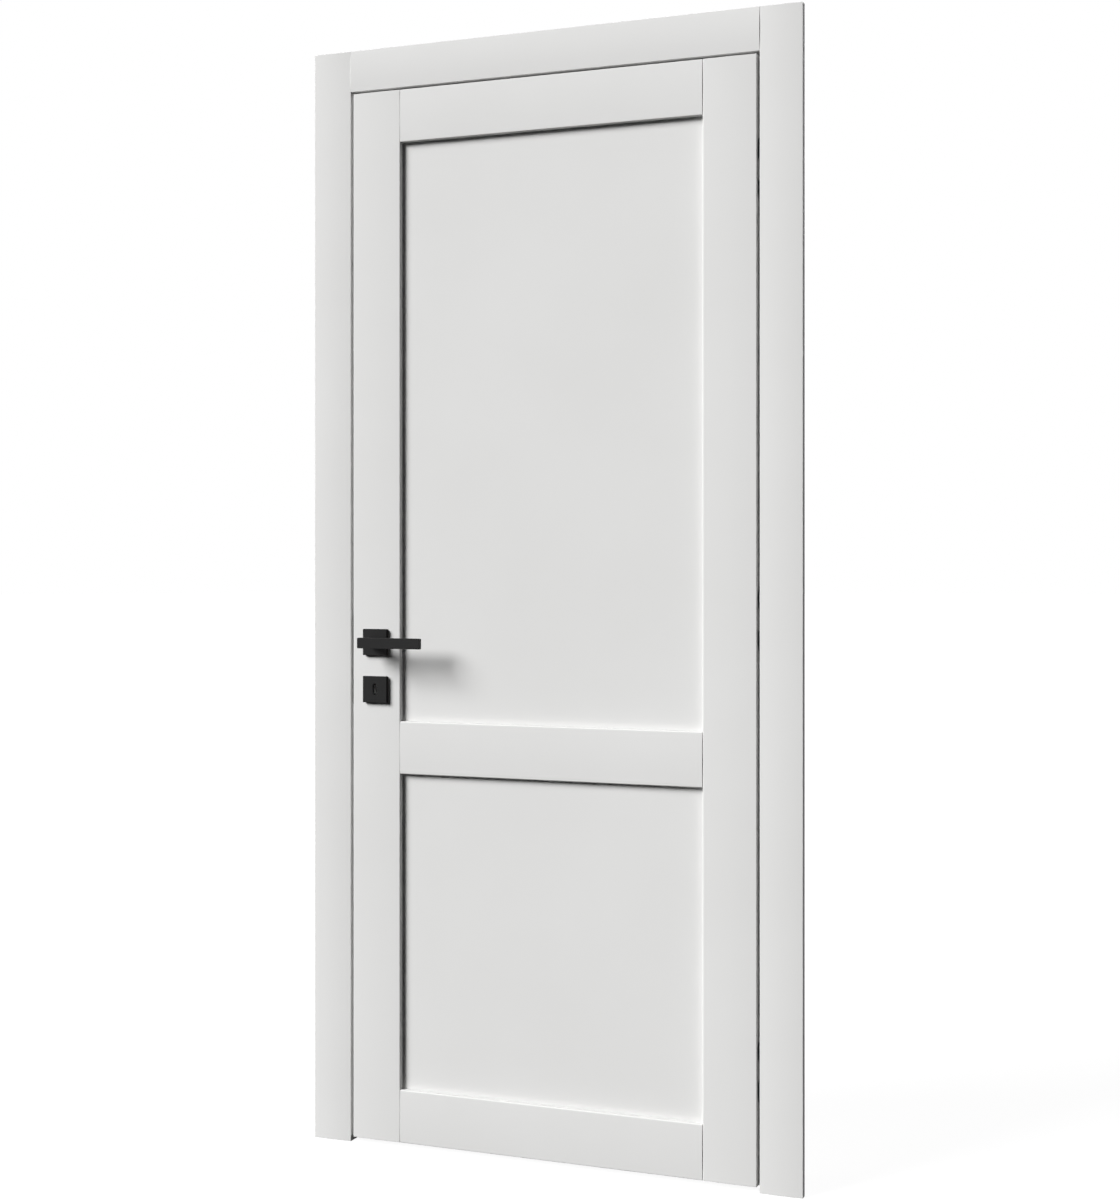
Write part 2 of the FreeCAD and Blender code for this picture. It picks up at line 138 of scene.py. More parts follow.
SEAL_OFFSET = 11.0
SEAL_HALF_WIDTH = 4.0
SEAL_SHOULDER = 0.3
SEAL_TUCK = 0.1
SEAL_NECK = 1.6
SEAL_RIBS = ((1.6, 1.2), (1.8, 2.0), (1.5, 2.4), (1.8, 3.6), (1.4, 4.2), (1.1, 5.0))
SEAL_GROOVE_HALF = 1.8
SEAL_GROOVE_DEPTH = 5.2

# Concealed hinges

HINGE_GAP = 5.0
AXIS_OFFSET = 2.0
OPENING_ANGLE = 95.0
HINGE_END_DISTANCE = 200.0
HOUSING_WIDTH = 26.0
HOUSING_HEIGHT = 110.0
HOUSING_DEPTH = 29.0
HOUSING_MIDDLE = (HOUSING_LOW.y + HOUSING_HIGH.y) / 2
HOUSING_FRONT_EDGE = 0.7
HOUSING_BACK_EDGE = 0.5
COVER_LINE_RISE = 29.0
COVER_LINE_DEPTH = 0.35
COVER_LINE_HALF_WIDTH = 0.3
HINGE_SCREW_RADIUS = 4.2
HINGE_SCREW_RISE = 42.0
ADJUSTER_RADIUS = 2.2
ADJUSTER_PLAY = 0.2
ADJUSTER_RISE = 24.5
ADJUSTER_SHIFT = 7.5
LINK_RADIUS = 28.0
LINK_THICKNESS = 7.0
LINK_HEIGHT = 40.0
LINK_EDGE = 0.9
LINK_ENGAGEMENT = 10.0
LINK_CLEARANCE = 0.3
LINK_END_ANGLE = 1.0
LINK_INNER_RADIUS = LINK_RADIUS - LINK_THICKNESS / 2
LINK_OUTER_RADIUS = LINK_RADIUS + LINK_THICKNESS / 2
LINK_HALF_ANGLE = OPENING_ANGLE / 2 + math.degrees(math.asin(HINGE_GAP / 2 / LINK_RADIUS)) + LINK_ENGAGEMENT
HINGE_AXIS = Vector((HINGE_FACE - HINGE_GAP / 2, LEAF_FRONT - AXIS_OFFSET, 0.0))
HINGE_LEVELS = (
    ("lower", LEAF_BOTTOM + HINGE_END_DISTANCE),
    ("middle", (LEAF_BOTTOM + LEAF_TOP) / 2),
    ("upper", LEAF_TOP - HINGE_END_DISTANCE),
)

# Lock and strike plate

FITTING_PLAY = 0.15
FOREND_WIDTH = 20.0
FOREND_HEIGHT = 235.0
FOREND_THICKNESS = 3.0
FOREND_FRONT_EDGE = 0.4
FOREND_SCREW_RISE = 106.0
FOREND_Z = (FOREND_LOW.z + FOREND_HIGH.z) / 2
STRIKE_WIDTH = 24.0
STRIKE_HEIGHT = 180.0
STRIKE_THICKNESS = 2.0
STRIKE_FRONT_EDGE = 0.35
STRIKE_SCREW_RISE = 78.0
STRIKE_Z = (STRIKE_LOW.z + STRIKE_HIGH.z) / 2
STRIKE_POCKET_PLAY = 1.5
STRIKE_POCKET_DEPTH = 20.0
PLATE_BACK_EDGE = 0.2
LOCK_SCREW_RADIUS = 3.9
BOLT_PLAY = 0.25
LATCH_EDGE = 0.4
LATCH_TIP = 3.0
LATCH_SLANT = 8.0
BOLT_CORNER = 1.0
BOLT_FRONT_EDGE = 0.8
BOLT_BACK_EDGE = 0.3
FOLLOWER_ROOM_RADIUS = 9.0

# Screws, as (depth, inset) stations from the plate's face

SCREW_HEAD = ((2.0, 0.9), (0.9, 0.0), (0.45, 0.0), (0.3, 0.06), (0.25, 0.3))
SCREW_SEAT = ((-0.5, -0.3), (0.0, -0.2), (0.25, 0.0), (1.0, 0.0), (2.1, 0.9))
SCREW_PLAY = 0.12
SOCKET_SHARE = 0.45
SOCKET_DEPTH = 1.3
ADJUSTER_HEAD = ((1.5, 0.0), (0.7, 0.0), (0.5, 0.2))
ADJUSTER_WELL_DEPTH = 1.6

# Lever set

SPINDLE = Vector(((ROSETTE_LOW.x + ROSETTE_HIGH.x) / 2, 0.0, (ROSETTE_LOW.z + ROSETTE_HIGH.z) / 2))
SPINDLE_WIDTH = 8.0
SPINDLE_ROOM_START = 24.0
SPINDLE_ROOM_DEPTH = 30.0
ROSETTE_SIZE = ROSETTE_HIGH.x - ROSETTE_LOW.x
ROSETTE_THICKNESS = ROSETTE_HIGH.y - ROSETTE_LOW.y
ROSETTE_CORNER = 1.1
ROSETTE_FRONT_EDGE = 0.5
ROSETTE_BACK_EDGE = 0.15
ROSETTE_REBATE = 0.5
JOURNAL_RADIUS = 9.0
JOURNAL_CLEARANCE = 0.05
JOURNAL_START = 1.5
JOURNAL_LENGTH = 8.5
BORE_OVERRUN = 2.0
KEY_Z = (KEY_LOW.z + KEY_HIGH.z) / 2
KEYHOLE_WIDTH = 8.0
KEYHOLE_HEIGHT = 22.0
KEYHOLE_CHAMFER = 0.6
KEYHOLE_ROOM = 2.0
LEVER_THICKNESS = 9.0
LEVER_CORNER = 2.0
LEVER_EDGE = 0.6
NECK_WIDTH = 18.0
NECK_CORNER = 1.5
NECK_FLARE = 0.8
NECK_GAP = 0.5
NECK_END_EDGE = 0.3
GRUB_RADIUS = 2.0
GRUB_DEPTH = 2.0
GRUB_SHIFT = 4.0

# How finely forms are divided, cut and welded

SHARP_ANGLE = 32.0
CROWN_STEPS = 28
EDGE_STEPS = 6
END_STEPS = 4
SLOT_STEPS = 14
RING_STEPS = 24
LIP_STEPS = 20
FLARE_STEPS = 5
OVERRUN = 5.0
SHORT_OVERRUN = 1.0
WELD_DISTANCE = 0.002
SLIVER_LENGTH = 0.001

# Colours, light and camera

LACQUER_DARK = (0.708, 0.706, 0.698)
LACQUER_LIGHT = (0.732, 0.731, 0.724)
BLACK_DARK = (0.0040, 0.0040, 0.0041)
BLACK_LIGHT = (0.0055, 0.0055, 0.0056)
RUBBER_DARK = (0.50, 0.50, 0.49)
RUBBER_LIGHT = (0.57, 0.57, 0.56)
WHITE = (1.0, 1.0, 1.0, 1.0)

KEY_DIRECTION = Vector((0.5815, 0.632, -0.512))
KEY_STRENGTH = 4.87
KEY_SOFTNESS = 32.0
BACK_DIRECTION = Vector((0.16, -0.95, -0.26))
BACK_STRENGTH = 1.9
BACK_SOFTNESS = 30.0
FILL_FROM = Vector((0.48, 0.82, 0.30)).normalized()
FILL_HIGH = 0.42
FILL_LOW = 0.012
FLOOR_RADIUS = 60.0
FLOOR_BOUNCE = 0.01
FLOOR_GLOW = 0.93
FLOOR_SHADE = 0.14
CAMERA_PLACE = (0.8716, -3.2593, 1.1167)
CAMERA_TURN = 21.68
CAMERA_LENS = 57.06
CAMERA_SENSOR = 36.0
CAMERA_SHIFT = (0.0001, -0.0334)
CAMERA_SIGHT = 200.0


# Materials

def new_material(name):
    material = bpy.data.materials.new(name)
    material.use_nodes = True
    return material, material.node_tree, material.node_tree.nodes["Principled BSDF"]


def object_coordinates(tree, scale=(1, 1, 1)):
    """Object coordinates stretched by a scale along each axis."""
    place = tree.nodes.new("ShaderNodeTexCoord")
    mapping = tree.nodes.new("ShaderNodeMapping")
    mapping.inputs["Scale"].default_value = scale
    tree.links.new(place.outputs["Object"], mapping.inputs["Vector"])
    return mapping.outputs["Vector"]


def noise(tree, vector, scale, detail):
    texture = tree.nodes.new("ShaderNodeTexNoise")
    texture.inputs["Scale"].default_value = scale
    texture.inputs["Detail"].default_value = detail
    texture.inputs["Roughness"].default_value = 0.55
    tree.links.new(vector, texture.inputs["Vector"])
    return texture.outputs["Fac"]


def remap(tree, value, low, high, value_low=0.3, value_high=0.7):
    """Stretches a value's range, as a rule a noise's middle range, to between two values."""
    ramp = tree.nodes.new("ShaderNodeMapRange")
    ramp.inputs["From Min"].default_value = value_low
    ramp.inputs["From Max"].default_value = value_high
    ramp.inputs["To Min"].default_value = low
    ramp.inputs["To Max"].default_value = high
    tree.links.new(value, ramp.inputs["Value"])
    return ramp.outputs["Result"]


def colour_mix(tree, value, dark, light):
    mix = tree.nodes.new("ShaderNodeMix")
    mix.data_type = "RGBA"
    mix.inputs["A"].default_value = (*dark, 1.0)
    mix.inputs["B"].default_value = (*light, 1.0)
    tree.links.new(remap(tree, value, 0.0, 1.0), mix.inputs["Factor"])
    return mix.outputs["Result"]


def bump(tree, height, distance, strength, under=None):
    node = tree.nodes.new("ShaderNodeBump")
    node.inputs["Distance"].default_value = distance
    node.inputs["Strength"].default_value = strength
    tree.links.new(height, node.inputs["Height"])
    if under is not None:
        tree.links.new(under, node.inputs["Normal"])
    return node.outputs["Normal"]


def lacquer(name, fibre_scale):
    """Satin white lacquer: a fine spray texture over faint fibres that run with the board."""
    material, tree, shader = new_material(name)
    still = object_coordinates(tree)
    fibres = noise(tree, object_coordinates(tree, fibre_scale), scale=1.0, detail=4.0)
    cloud = noise(tree, still, scale=2.6, detail=3.0)
    peel = noise(tree, still, scale=620.0, detail=2.0)
    grain = bump(tree, fibres, distance=0.00012, strength=0.12)
    tree.links.new(colour_mix(tree, cloud, LACQUER_DARK, LACQUER_LIGHT), shader.inputs["Base Color"])
    tree.links.new(remap(tree, peel, 0.40, 0.48), shader.inputs["Roughness"])
    tree.links.new(bump(tree, peel, distance=0.00003, strength=0.25, under=grain), shader.inputs["Normal"])
    shader.inputs["Specular IOR Level"].default_value = 0.03
    return material


def powder_coat(name):
    """Matt black powder coat with its fine grit."""
    material, tree, shader = new_material(name)
    still = object_coordinates(tree)
    grit = noise(tree, still, scale=1900.0, detail=3.0)
    cloud = noise(tree, still, scale=22.0, detail=2.0)
    tree.links.new(colour_mix(tree, cloud, BLACK_DARK, BLACK_LIGHT), shader.inputs["Base Color"])
    tree.links.new(remap(tree, grit, 0.46, 0.58), shader.inputs["Roughness"])
    tree.links.new(bump(tree, grit, distance=0.00004, strength=0.35), shader.inputs["Normal"])
    shader.inputs["Specular IOR Level"].default_value = 0.15
    return material


def brushed_metal(name, dark, light, line_scale, rough):
    """Metal with fine brushing along one direction, or a grain where the scale is even."""
    material, tree, shader = new_material(name)
    lines = noise(tree, object_coordinates(tree, line_scale), scale=1.0, detail=4.0)
    tree.links.new(colour_mix(tree, lines, dark, light), shader.inputs["Base Color"])
    tree.links.new(remap(tree, lines, rough - 0.05, rough + 0.07), shader.inputs["Roughness"])
    tree.links.new(bump(tree, lines, distance=0.00003, strength=0.3), shader.inputs["Normal"])
    shader.inputs["Metallic"].default_value = 1.0
    return material


def soft_rubber(name):
    """Pale rubber with a dull, finely mottled skin."""
    material, tree, shader = new_material(name)
    fine = noise(tree, object_coordinates(tree), scale=900.0, detail=3.0)
    tree.links.new(colour_mix(tree, fine, RUBBER_DARK, RUBBER_LIGHT), shader.inputs["Base Color"])
    tree.links.new(remap(tree, fine, 0.62, 0.74), shader.inputs["Roughness"])
    tree.links.new(bump(tree, fine, distance=0.00004, strength=0.3), shader.inputs["Normal"])
    return material


upright_lacquer = lacquer("lacquer_upright", (420.0, 420.0, 9.0))
across_lacquer = lacquer("lacquer_across", (9.0, 420.0, 420.0))
black_coat = powder_coat("black_powder_coat")
lock_steel = brushed_metal("lock_steel", dark=(0.40, 0.40, 0.39), light=(0.52, 0.52, 0.505),
                           line_scale=(2600.0, 2600.0, 40.0), rough=0.30)
inner_steel = brushed_metal("inner_steel", dark=(0.36, 0.36, 0.36), light=(0.46, 0.46, 0.45),
                            line_scale=(700.0, 700.0, 700.0), rough=0.42)
hinge_nickel = brushed_metal("hinge_nickel", dark=(0.46, 0.46, 0.46), light=(0.56, 0.56, 0.55),
                             line_scale=(1500.0, 1500.0, 60.0), rough=0.34)
seal_rubber = soft_rubber("seal_rubber")

SLOT_MATERIALS = {
    "white_lacquer": upright_lacquer,
    "black_metal": black_coat,
    "lock_steel": lock_steel,
    "lock_inner": inner_steel,
    "hinge_metal": hinge_nickel,
    "seal_rubber": seal_rubber,
}
LAID_ACROSS = ("jamb_head", "casing_head", "rail_top", "rail_middle", "rail_bottom")


def dress_nodes():
    """Gives every CAD node the material of its slot."""
    for entry in frame["record"]["subparts"]:
        node = frame["nodes"][entry["node"]]
        material = SLOT_MATERIALS[entry["material_slot"]]
        if entry["node"] in LAID_ACROSS:
            material = across_lacquer
        node.data.materials.clear()
        node.data.materials.append(material)


# Outlines

def rounded_outline(corners, steps=5):
    """Closed outline through corners (u, v, radius), each rounded to its radius."""
    outline = []
    for i, (u, v, radius) in enumerate(corners):
        if radius <= 0:
            outline.append((u, v))
            continue
        before = Vector(corners[i - 1][:2]) - Vector((u, v))
        after = Vector(corners[(i + 1) % len(corners)][:2]) - Vector((u, v))
        before.normalize()
        after.normalize()
        half = before.angle(after) / 2
        centre = Vector((u, v)) + (before + after).normalized() * (radius / math.sin(half))
        start = Vector((u, v)) + before * (radius / math.tan(half)) - centre
        end = Vector((u, v)) + after * (radius / math.tan(half)) - centre
        turn = math.atan2(start.x * end.y - start.y * end.x, start.dot(end))
        for k in range(steps + 1):
            angle = math.atan2(start.y, start.x) + turn * k / steps
            outline.append((centre.x + radius * math.cos(angle), centre.y + radius * math.sin(angle)))
    return outline


def rectangle(u0, u1, v0, v1, radius=0.0, steps=5):
    return rounded_outline([(u0, v0, radius), (u1, v0, radius), (u1, v1, radius), (u0, v1, radius)], steps)


def stadium(width, height, grow=0.0):
    """Upright slot outline about its middle, in (across, up)."""
    radius = width / 2 + grow
    straight = (height - width) / 2
    outline = []
    for start, rise in ((0.0, straight), (math.pi, -straight)):
        for i in range(SLOT_STEPS + 1):
            angle = start + math.pi * i / SLOT_STEPS
            outline.append((radius * math.cos(angle), rise + radius * math.sin(angle)))
    return outline


def circle(radius, steps):
    turns = [2 * math.pi * (i + 0.3) / steps for i in range(steps)]
    return [(radius * math.cos(turn), radius * math.sin(turn)) for turn in turns]


def ring_outline(inner, outer, half_angle):
    """Part of a ring about the hinge axis, equal to both sides of the gap, in (X, Y)."""
    right, left = 90 - half_angle, 90 + half_angle
    outline = []
    for radius, first, last in ((outer, right, left), (inner, left, right)):
        for i in range(RING_STEPS + 1):
            angle = math.radians(first + (last - first) * i / RING_STEPS)
            outline.append((HINGE_AXIS.x + radius * math.cos(angle), HINGE_AXIS.y + radius * math.sin(angle)))
    return outline


def outward_normals(section):
    """Corner normals of a closed outline, lengthened so that an inset keeps its sides parallel."""
    pairs = list(zip(section, section[1:] + section[:1]))
    turn = 1.0 if sum(a[0] * b[1] - b[0] * a[1] for a, b in pairs) > 0 else -1.0
    sides = []
    for a, b in pairs:
        run = math.hypot(b[0] - a[0], b[1] - a[1])
        sides.append((turn * (b[1] - a[1]) / run, -turn * (b[0] - a[0]) / run))
    normals = []
    for before, after in zip(sides[-1:] + sides[:-1], sides):
        u, v = before[0] + after[0], before[1] + after[1]
        size = math.hypot(u, v)
        u, v = u / size, v / size
        reach = 1.0 / max(0.5, u * after[0] + v * after[1])
        normals.append((u * reach, v * reach))
    return normals


def rounded_ends(length, first, last):
    """Stations (distance, inset) along a run whose two ends are rounded to their radii."""
    turns = [math.pi / 2 * i / END_STEPS for i in range(END_STEPS + 1)]
    start = [(first * (1 - math.cos(turn)), first * (1 - math.sin(turn))) for turn in turns]
    end = [(length - last * (1 - math.cos(turn)), last * (1 - math.sin(turn))) for turn in turns]
    return start + end[::-1]


def along_x(x, y, z, way=1.0):
    """Outline in (Y, Z) about a point, run along X."""
    return lambda u, v, w: (x + way * w, y + u, z + v)


def along_y(x, y, z):
    """Outline in (X, Z) about a point, run along Y."""
    return lambda u, v, w: (x + u, y + w, z + v)


def along_z(x, y, z):
    """Outline in (X, Y) about a point, run along Z."""
    return lambda u, v, w: (x + u, y + v, z + w)


# Mesh building

def add_object(name, data):
    thing = bpy.data.objects.new(name, data)
    bpy.context.scene.collection.objects.link(thing)
    return thing


def clear_away(piece):
    """Removes a piece and its mesh."""
    mesh = piece.data
    bpy.data.objects.remove(piece)
    bpy.data.meshes.remove(mesh)


def apply_modifiers(piece):
    """Puts what the modifiers make in the place of the piece's mesh."""
    bpy.context.view_layer.update()
    graph = bpy.context.evaluated_depsgraph_get()
    mesh = bpy.data.meshes.new_from_object(piece.evaluated_get(graph))
    piece.modifiers.clear()
    worn = piece.data
    piece.data = mesh
    bpy.data.meshes.remove(worn)


def run_section(name, section, stations, place):
    """Closed outline carried along its stations; place turns (u, v, w) into a point of the object."""
    normals = outward_normals(section)
    points = []
    for w, inset in stations:
        for (u, v), (nu, nv) in zip(section, normals):
            points.append(Vector(place(u - nu * inset, v - nv * inset, w)) * MM)
    count = len(section)
    faces = [tuple(range(count)), tuple(range(len(points) - count, len(points)))]
    for level in range(len(stations) - 1):
        start = level * count
        for i in range(count):
            j = (i + 1) % count
            faces.append((start + i, start + j, start + count + j, start + count + i))
    mesh = bpy.data.meshes.new(name)
    mesh.from_pydata(points, [], faces)
    shape = bmesh.new()
    shape.from_mesh(mesh)
    bmesh.ops.recalc_face_normals(shape, faces=shape.faces)
    shape.to_mesh(mesh)
    shape.free()
    return add_object(name, mesh)


def straight_run(name, section, first, last, place):
    """Closed outline carried from one distance to another."""
    return run_section(name, section, [(first, 0.0), (last, 0.0)], place)


def block(name, low, high):
    """Plain cutting block between two corners."""
    return straight_run(name, rectangle(low[0], high[0], low[1], high[1]), low[2], high[2], along_z(0, 0, 0))


def joined(name, pieces):
    """One piece from several that don't touch."""
    shape = bmesh.new()
    for piece in pieces:
        shape.from_mesh(piece.data)
        clear_away(piece)
    mesh = bpy.data.meshes.new(name)
    shape.to_mesh(mesh)
    shape.free()
    return add_object(name, mesh)


def carve(piece, tools, operation="DIFFERENCE"):
    """Cuts the tools out of a piece, or joins them to it, clears them away and welds what the cuts left."""
    for tool in tools:
        cut = piece.modifiers.new(tool.name, "BOOLEAN")
        cut.operation = operation
        cut.solver = "EXACT"
        cut.object = tool
    apply_modifiers(piece)
    for tool in tools:
        clear_away(tool)
    shape = bmesh.new()
    shape.from_mesh(piece.data)
    bmesh.ops.remove_doubles(shape, verts=shape.verts, dist=WELD_DISTANCE * MM)
    bmesh.ops.dissolve_degenerate(shape, edges=shape.edges, dist=SLIVER_LENGTH * MM)
    shape.to_mesh(piece.data)
    shape.free()
    return piece


def finish_piece(piece, material, slot, body, *nodes):
    """Shades a piece, gives it its material, sets it on its body and lets it stand for its CAD nodes."""
    piece.data.materials.clear()
    piece.data.shade_smooth()
    piece.data.set_sharp_from_angle(angle=math.radians(SHARP_ANGLE))
    piece.modifiers.new("even", "WEIGHTED_NORMAL").keep_sharp = True
    apply_modifiers(piece)
    piece.data.name = piece.name
    piece.data.materials.append(material)
    for face in piece.data.polygons:
        face.material_index = 0
    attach(piece, body)
    if nodes:
        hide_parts(*nodes)


# Boards

Board = namedtuple("Board", "front thickness crown both_faces")
LEAF_BOARD = Board(LEAF_FRONT, LEAF_THICKNESS, LEAF_CROWN, True)
CASING_BOARD = Board(-CASING_THICKNESS, CASING_THICKNESS, CASING_CROWN, False)


def board_outline(kind, width, edges):
    """Board section with a crowned front, and back if asked; its two long edges are rounded."""
    first, last = edges
    turns = [math.pi / 2 * i / EDGE_STEPS for i in range(EDGE_STEPS + 1)]
    outline = [(first - first * math.cos(turn), first - first * math.sin(turn)) for turn in turns]
    outline += [(first + (width - first - last) * i / CROWN_STEPS, 0.0) for i in range(1, CROWN_STEPS)]
    outline += [(width - last + last * math.sin(turn), last - last * math.cos(turn)) for turn in turns]
    if kind.both_faces:
        outline += [(u, kind.thickness - v) for u, v in outline[::-1]]
    else:
        outline += [(width, kind.thickness), (0.0, kind.thickness)]
    shaped = []
    for u, v in outline:
        drop = kind.crown * (2 * u / width - 1) ** 2
        if v < kind.thickness / 2:
            shaped.append((u, v + drop))
        elif kind.both_faces:
            shaped.append((u, v - drop))
        else:
            shaped.append((u, v))
    return shaped


def upright_board(name, kind, x, z, width, length, edges, ends):
    """Board from its foot up; edges are its left and right radii, ends its lower and upper ones."""
    return run_section(name, board_outline(kind, width, edges), rounded_ends(length, *ends),
                       along_z(x, kind.front, z))


def board_across(name, kind, x, z_top, width, length, edges, ends):
    """Board from left to right; edges are its upper and lower radii, ends its left and right ones."""
    return run_section(name, board_outline(kind, width, edges), rounded_ends(length, *ends),
                       lambda u, v, w: (x + w, kind.front + v, z_top - u))


# Rooms that fittings need in the boards

def panel_room(name, x0, x1, z0, z1):
    """Groove for a panel, a little open in front of and behind it."""
    return block(name, (x0, PANEL_LOW.y - PANEL_SHADOW_GAP, z0), (x1, PANEL_HIGH.y + PANEL_SHADOW_GAP, z1))


def stile_groove(x0, x1):
    """Panel groove up a stile, from beside the bottom rail to beside the top rail."""
    return panel_room("groove", x0, x1, LEAF_BOTTOM + GROOVE_END_DISTANCE, LEAF_TOP - GROOVE_END_DISTANCE)


def housing_pockets(x, way):
    """Slots for the three hinge housings, a hair larger than they are."""
    outline = stadium(HOUSING_WIDTH, HOUSING_HEIGHT, FITTING_PLAY)
    return [straight_run("pocket_" + level, outline, -SHORT_OVERRUN, HOUSING_DEPTH,
                         along_x(x, HOUSING_MIDDLE, z, way)) for level, z in HINGE_LEVELS]


def bolt_room(name, low, high, play, x0, x1):
    """Room round a latch or bolt, with play above, below, before and behind."""
    return block(name, (x0, low.y - play, low.z - play), (x1, high.y + play, high.z + play))


def strike_pockets(depth):
    """Rooms for the latch and the bolt, through the strike plate or into the lock jamb."""
    x0, x1 = LOCK_FACE - depth, LOCK_FACE + OVERRUN
    return [bolt_room("latch_pocket", LATCH_LOW, LATCH_HIGH, STRIKE_POCKET_PLAY, x0, x1),
            bolt_room("bolt_pocket", BOLT_LOW, BOLT_HIGH, STRIKE_POCKET_PLAY, x0, x1)]


def strike_room():
    """Recess for the strike plate."""
    return straight_run("strike_room", stadium(STRIKE_WIDTH, STRIKE_HEIGHT, FITTING_PLAY), -SHORT_OVERRUN,
                        STRIKE_THICKNESS, along_x(LOCK_FACE, LEAF_MIDDLE, STRIKE_Z, -1.0))


def fixing_holes(face, way):
    """Counterbored screw holes through a jamb."""
    inset = FIXING_HEAD_RADIUS - FIXING_HOLE_RADIUS
    stations = [(-SHORT_OVERRUN, 0.0), (FIXING_HEAD_DEPTH, 0.0), (FIXING_HEAD_DEPTH, inset),
                (JAMB_THICKNESS + SHORT_OVERRUN, inset)]
    outline = circle(FIXING_HEAD_RADIUS, 32)
    places = [along_x(face, STOP_FRONT / 2, z, way) for z in FIXING_HEIGHTS]
    return [run_section("hole", outline, stations, place) for place in places]


def lock_rooms():
    """Rooms for the lock's forend, case, follower and keyhole."""
    through = (-OVERRUN, LEAF_THICKNESS + OVERRUN)
    return [
        straight_run("forend_room", stadium(FOREND_WIDTH, FOREND_HEIGHT, FITTING_PLAY), -SHORT_OVERRUN,
                     FOREND_THICKNESS, along_x(LEAF_LEFT, LEAF_MIDDLE, FOREND_Z)),
        block("case_room", (LEAF_LEFT - SHORT_OVERRUN, CASE_LOW.y, CASE_LOW.z), CASE_HIGH),
        straight_run("spindle_room", circle(FOLLOWER_ROOM_RADIUS, 40), *through,
                     along_y(SPINDLE.x, LEAF_FRONT, SPINDLE.z)),
        straight_run("key_room", stadium(KEYHOLE_WIDTH + 2 * KEYHOLE_ROOM, KEYHOLE_HEIGHT + 2 * KEYHOLE_ROOM),
                     *through, along_y(SPINDLE.x, LEAF_FRONT, KEY_Z)),
    ]


# Leaf and casing boards

def make_stiles():
    ends = (STILE_END_RADIUS, STILE_END_RADIUS)
    length = LEAF_TOP - LEAF_BOTTOM
    lock_stile = upright_board("lock_stile", LEAF_BOARD, LEAF_LEFT, LEAF_BOTTOM, STILE_WIDTH, length,
                               (GAP_SIDE_EDGE, PANEL_SIDE_EDGE), ends)
    groove = stile_groove(STILES_LEFT - PANEL_GROOVE_DEPTH, STILES_LEFT + OVERRUN)
    carve(lock_stile, [groove] + lock_rooms())
    finish_piece(lock_stile, upright_lacquer, "white_lacquer", "leaf", "stile_lock_side")

    hinge_stile = upright_board("hinge_stile", LEAF_BOARD, STILES_RIGHT, LEAF_BOTTOM, STILE_WIDTH, length,
                                (PANEL_SIDE_EDGE, GAP_SIDE_EDGE), ends)
    groove = stile_groove(STILES_RIGHT - OVERRUN, STILES_RIGHT + PANEL_GROOVE_DEPTH)
    carve(hinge_stile, [groove, joined("pockets", housing_pockets(LEAF_RIGHT, -1.0))])
    finish_piece(hinge_stile, upright_lacquer, "white_lacquer", "leaf", "stile_hinge_side")


def make_rails():
    x0, x1 = STILES_LEFT - OVERRUN, STILES_RIGHT + OVERRUN
    for name, node, edges in (("top_rail", "rail_top", (GAP_SIDE_EDGE, PANEL_SIDE_EDGE)),
                              ("lock_rail", "rail_middle", (PANEL_SIDE_EDGE, PANEL_SIDE_EDGE)),
                              ("bottom_rail", "rail_bottom", (PANEL_SIDE_EDGE, GAP_SIDE_EDGE))):
        low, high = node_box(node)
        rail = board_across(name, LEAF_BOARD, STILES_LEFT, high.z, high.z - low.z, STILES_RIGHT - STILES_LEFT,
                            edges, (RAIL_END_RADIUS, RAIL_END_RADIUS))
        grooves = []
        if node != "rail_top":
            grooves.append(panel_room("groove_over", x0, x1, high.z - PANEL_GROOVE_DEPTH, high.z + OVERRUN))
        if node != "rail_bottom":
            grooves.append(panel_room("groove_under", x0, x1, low.z - OVERRUN, low.z + PANEL_GROOVE_DEPTH))
        carve(rail, grooves)
        finish_piece(rail, across_lacquer, "white_lacquer", "leaf", node)


def make_casing():
    edges = (CASING_EDGE, CASING_EDGE)
    for name, x, rooms, node in (
            ("casing_leg_right", HINGE_FACE, housing_pockets(HINGE_FACE, 1.0), "casing_hinge_side"),
            ("casing_leg_left", LOCK_FACE - CASING_WIDTH, [strike_room()], "casing_lock_side")):
        leg = upright_board(name, CASING_BOARD, x, 0.0, CASING_WIDTH, CASING_TOP, edges,
                            (CASING_FOOT_RADIUS, CASING_TOP_RADIUS))
        carve(leg, rooms)
        finish_piece(leg, upright_lacquer, "white_lacquer", "frame", node)
    head = board_across("casing_head_board", CASING_BOARD, LOCK_FACE, CASING_TOP, CASING_WIDTH,
                        HINGE_FACE - LOCK_FACE, edges, (RAIL_END_RADIUS, RAIL_END_RADIUS))
    finish_piece(head, across_lacquer, "white_lacquer", "frame", "casing_head")


# Frame

def jamb_outline(face, way):
    """Jamb section in (across, back); way points from its face to its hidden side."""
    hidden = face + way * JAMB_THICKNESS
    stop = face - way * STOP_HEIGHT
    groove = face - way * SEAL_OFFSET
    groove_near = groove + way * SEAL_GROOVE_HALF
    groove_far = groove - way * SEAL_GROOVE_HALF
    groove_back = STOP_FRONT + SEAL_GROOVE_DEPTH
    return rounded_outline([
        (hidden, 0.0, JAMB_HIDDEN_ARRIS),
        (face, 0.0, JAMB_ARRIS),
        (face, STOP_FRONT, 0.0),
        (groove_near, STOP_FRONT, 0.0),
        (groove_near, groove_back, 0.0),
        (groove_far, groove_back, 0.0),
        (groove_far, STOP_FRONT, 0.0),
        (stop, STOP_FRONT, STOP_RADIUS),
        (stop, JAMB_DEPTH, STOP_RADIUS),
        (hidden, JAMB_DEPTH, JAMB_BACK_ARRIS),
    ])


